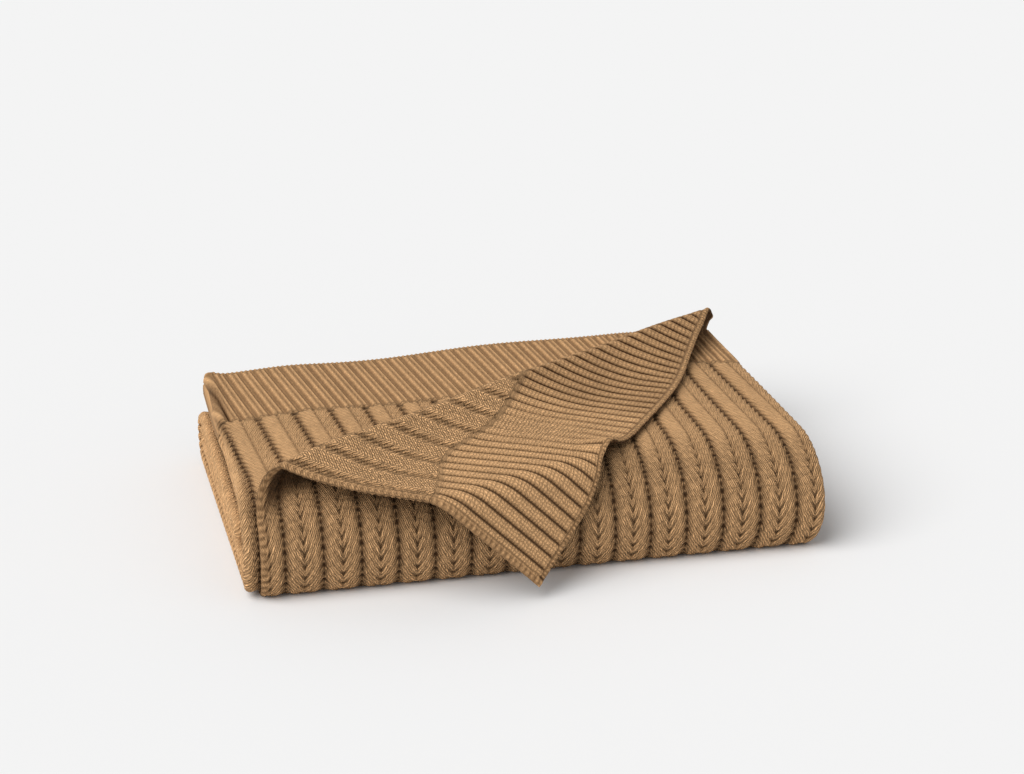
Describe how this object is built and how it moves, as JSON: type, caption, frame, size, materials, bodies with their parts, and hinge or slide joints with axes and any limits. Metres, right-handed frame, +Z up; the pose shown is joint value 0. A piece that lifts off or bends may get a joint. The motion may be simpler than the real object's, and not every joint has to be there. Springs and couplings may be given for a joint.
{
  "type": "folded knit throw",
  "caption": "Knitted throw folded into a low rectangular stack, with one corner turned back over the front edge.",
  "frame": {"origin": "on the flat underside, near the middle of the folded stack", "axes": "+X along the long front edge towards the end with the free corner's crease peak, +Y from the front edge to the back edge, +Z up"},
  "size_m": [0.4486, 0.3188, 0.1038],
  "materials": {
    "yarn": "matt tan knitted yarn"
  },
  "bodies": {
    "root": {"throw": "yarn"}
  },
  "joints": []
}
